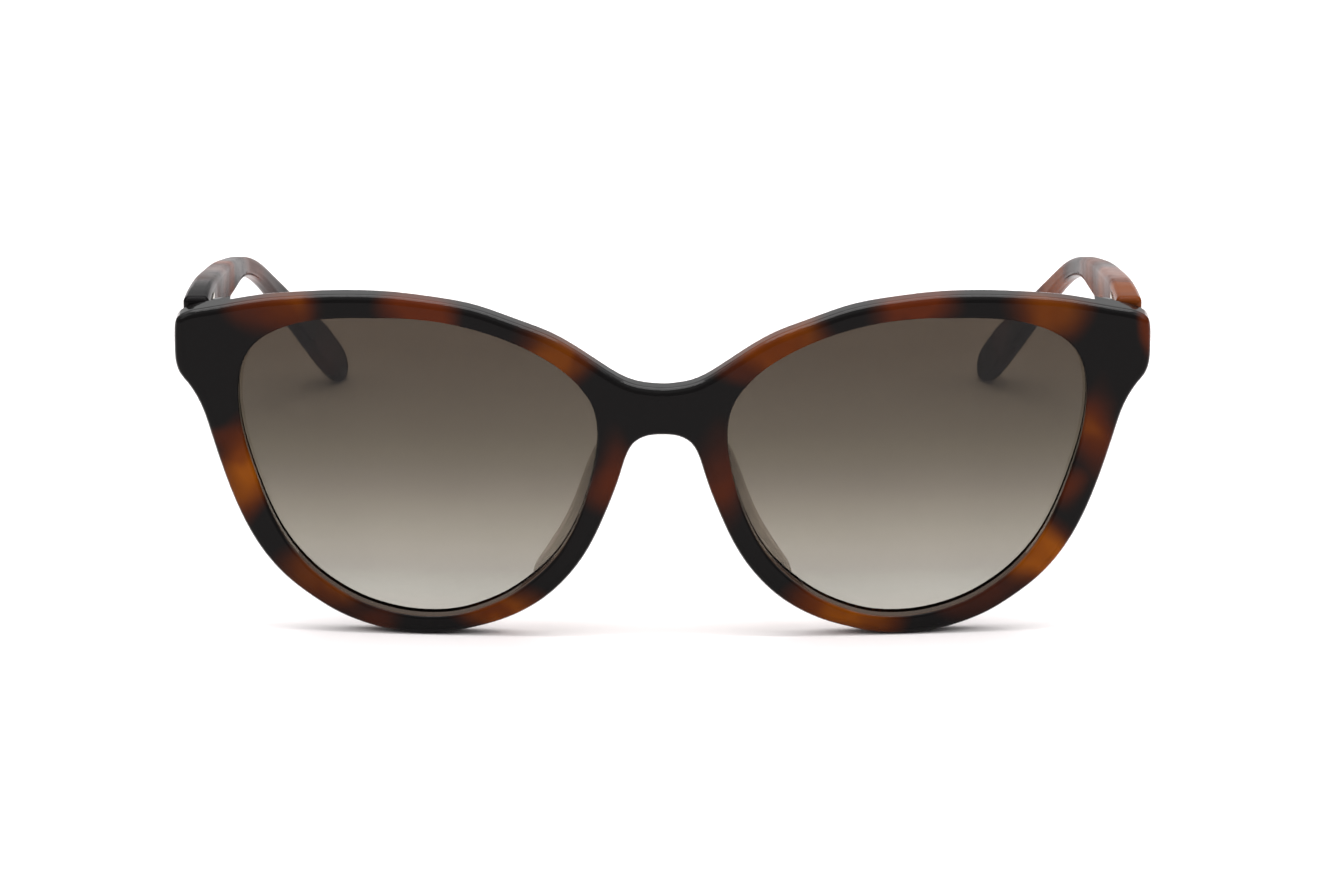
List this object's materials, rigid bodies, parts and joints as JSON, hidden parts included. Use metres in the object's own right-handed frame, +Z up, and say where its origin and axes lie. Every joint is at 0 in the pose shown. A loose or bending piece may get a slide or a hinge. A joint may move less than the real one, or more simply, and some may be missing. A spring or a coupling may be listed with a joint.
{
  "type": "cat eye sunglasses",
  "caption": "Cat eye sunglasses with a tortoise acetate front, brown gradient lenses and temples that fold on screwed barrel hinges.",
  "frame": {"origin": "middle of the footprint, on the surface the open glasses stand on", "axes": "+Z up, +Y along the open temples from the front to the tips, +X to the right seen from in front of the lenses"},
  "size_m": [0.143, 0.1409, 0.0516],
  "materials": {
    "front_acetate": "polished dark tortoise acetate",
    "temple_acetate": "polished dark tortoise acetate",
    "pad_acetate": "polished dark tortoise acetate",
    "tinted_lens": "clear, brown gradient tint, darker at the top",
    "hinge_metal": "satin nickel silver",
    "screw_steel": "bright steel",
    "core_wire": "drawn nickel silver"
  },
  "bodies": {
    "front": {"frame_front": "front_acetate", "lens_left": "tinted_lens", "lens_right": "tinted_lens", "nose_pad_left": "pad_acetate", "nose_pad_right": "pad_acetate", "front_hinge_left": "hinge_metal", "front_hinge_right": "hinge_metal", "hinge_screw_left": "screw_steel", "hinge_screw_right": "screw_steel"},
    "temple_left": {"temple_left": "temple_acetate", "temple_hinge_left": "hinge_metal", "core_wire_left": "core_wire"},
    "temple_right": {"temple_right": "temple_acetate", "temple_hinge_right": "hinge_metal", "core_wire_right": "core_wire"}
  },
  "joints": [
    {"name": "temple_left_fold", "type": "hinge", "parent": "front", "child": "temple_left", "pos_m": [-0.065, -0.05845, 0.0443], "axis": [0, 0, -1], "range_deg": [0, 84]},
    {"name": "temple_right_fold", "type": "hinge", "parent": "front", "child": "temple_right", "pos_m": [0.065, -0.05845, 0.0443], "axis": [0, 0, 1], "range_deg": [0, 77]}
  ]
}
